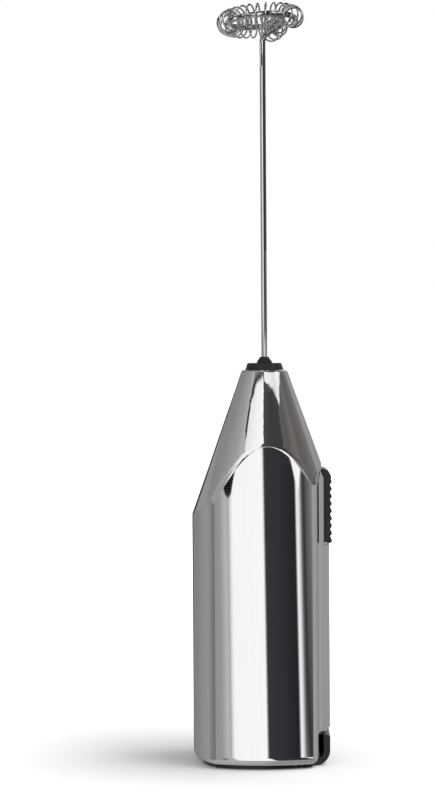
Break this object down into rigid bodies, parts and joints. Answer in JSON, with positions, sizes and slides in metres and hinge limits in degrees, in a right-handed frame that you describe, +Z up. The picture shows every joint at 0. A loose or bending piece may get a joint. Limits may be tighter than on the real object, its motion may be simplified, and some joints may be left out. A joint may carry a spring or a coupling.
{
  "type": "milk frother",
  "caption": "Handheld battery milk frother: chromed oval body with a conical nose, black thumb switch, slim steel wand and a coiled ring whisk.",
  "frame": {"origin": "on the resting face under the base, below the axis of the wand", "axes": "+Z up along the wand's axis; +X towards the thumb switch and the door's latch; -Y towards one wide face"},
  "size_m": [0.0399, 0.028, 0.2155],
  "materials": {
    "chrome_body": "mirror-bright plated shell",
    "black_gloss": "glossy moulded",
    "black_satin": "fine satin texture",
    "black_seal": "soft, matt",
    "frame_plastic": "moulded inner frame",
    "nylon_white": "motor end",
    "stainless_wire": "drawn, bright",
    "steel_pin": "ground",
    "motor_steel": "zinc plated",
    "contact_nickel": "nickel plated",
    "bronze": "sintered bronze",
    "copper": "bare copper",
    "copper_enamel": "enamelled copper wire",
    "laminations": "stacked laminations",
    "magnet": "sintered ferrite",
    "cell_steel": "nickel plated",
    "cell_jacket": "printed film",
    "lead_red": "insulation",
    "lead_black": "insulation"
  },
  "bodies": {
    "handle": {"body_shell": "chrome_body", "nose_collar": "black_gloss", "nose_bush": "bronze", "shaft_seal": "black_seal", "battery_chassis": "frame_plastic", "hinge_pin": "steel_pin", "motor_cradle": "frame_plastic", "motor_cap": "frame_plastic", "cradle_screws": "steel_pin", "motor_can": "motor_steel", "motor_end_cap": "nylon_white", "motor_terminals": "copper", "motor_magnets": "magnet", "motor_bearings": "bronze", "motor_brushes": "copper", "battery_1": "cell_steel", "battery_1_jacket": "cell_jacket", "battery_2": "cell_steel", "battery_2_jacket": "cell_jacket", "positive_contact": "contact_nickel", "switch_blade": "contact_nickel", "negative_contact": "contact_nickel", "negative_spring": "contact_nickel", "black_lead": "lead_black", "red_lead": "lead_red"},
    "spinner": {"motor_shaft": "steel_pin", "armature_core": "laminations", "armature_windings": "copper_enamel", "commutator": "copper", "shaft_coupling": "black_gloss", "whisk_wire": "stainless_wire", "whisk_coil": "stainless_wire"},
    "thumb_switch": {"switch_slider": "black_satin", "switch_carrier": "frame_plastic", "switch_bridge": "copper"},
    "base_door": {"battery_door": "black_satin", "door_contact": "contact_nickel", "door_spring": "contact_nickel"}
  },
  "joints": [
    {"name": "whisk_spin", "type": "hinge", "parent": "handle", "child": "spinner", "pos_m": [0, 0, 0], "axis": [0, 0, 1], "continuous": true},
    {"name": "switch_slide", "type": "slide", "parent": "handle", "child": "thumb_switch", "axis": [0, 0, 1], "range_m": [0, 0.002]},
    {"name": "door_hinge", "type": "hinge", "parent": "handle", "child": "base_door", "pos_m": [-0.0159, 0, 0.0013], "axis": [0, 1, 0], "range_deg": [0, 100]}
  ]
}
